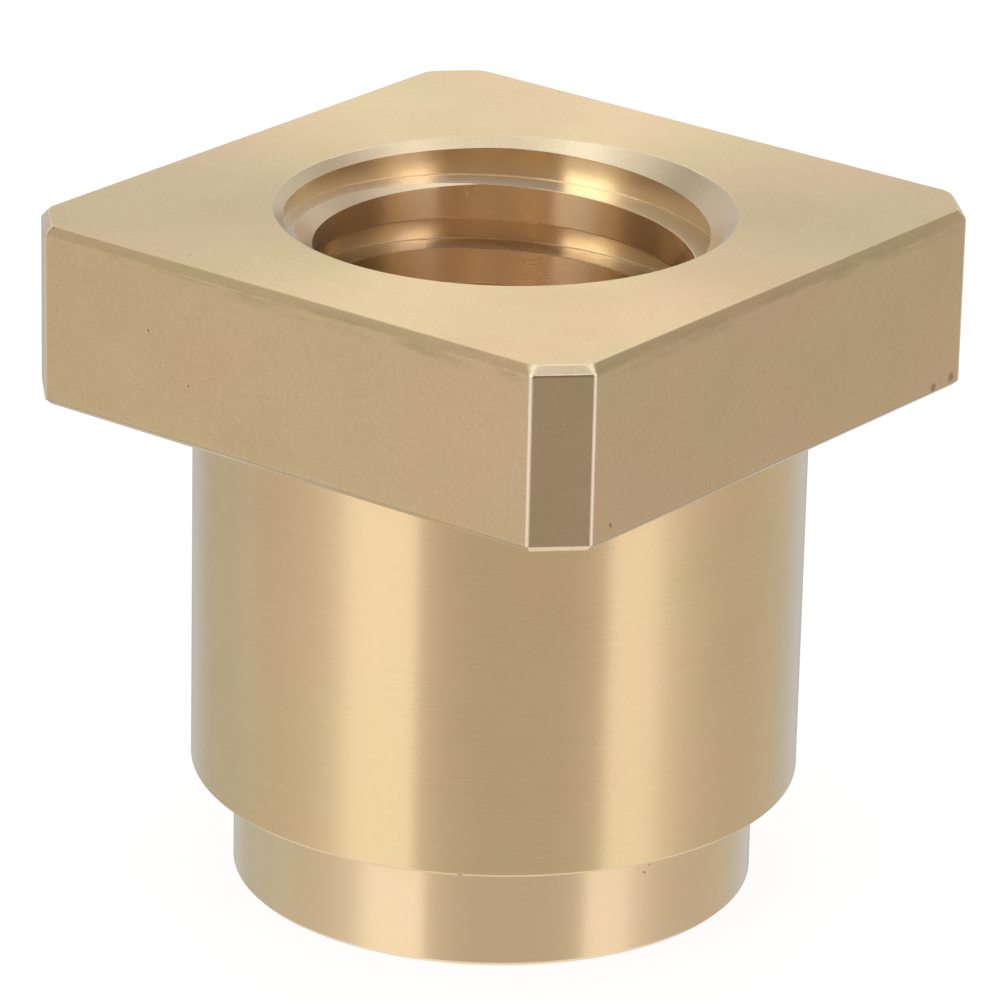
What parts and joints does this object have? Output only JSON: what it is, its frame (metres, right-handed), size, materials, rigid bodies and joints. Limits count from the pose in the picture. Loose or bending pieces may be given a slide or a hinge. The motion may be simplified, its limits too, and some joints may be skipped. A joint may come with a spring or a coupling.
{
  "type": "lead screw nut",
  "caption": "Square-headed brass nut for a large square-thread lead screw, with a turned barrel and spigot that seat in a housing.",
  "frame": {"origin": "centre of the annular foot face at the small end of the spigot, on the thread axis", "axes": "+Z along the thread axis, up through the square head; X and Y square to the sides of the head"},
  "size_m": [0.08, 0.08, 0.0815],
  "materials": {
    "brass": "satin, turned barrel and ground head"
  },
  "bodies": {
    "root": {"lead_screw_nut": "brass"}
  },
  "joints": []
}
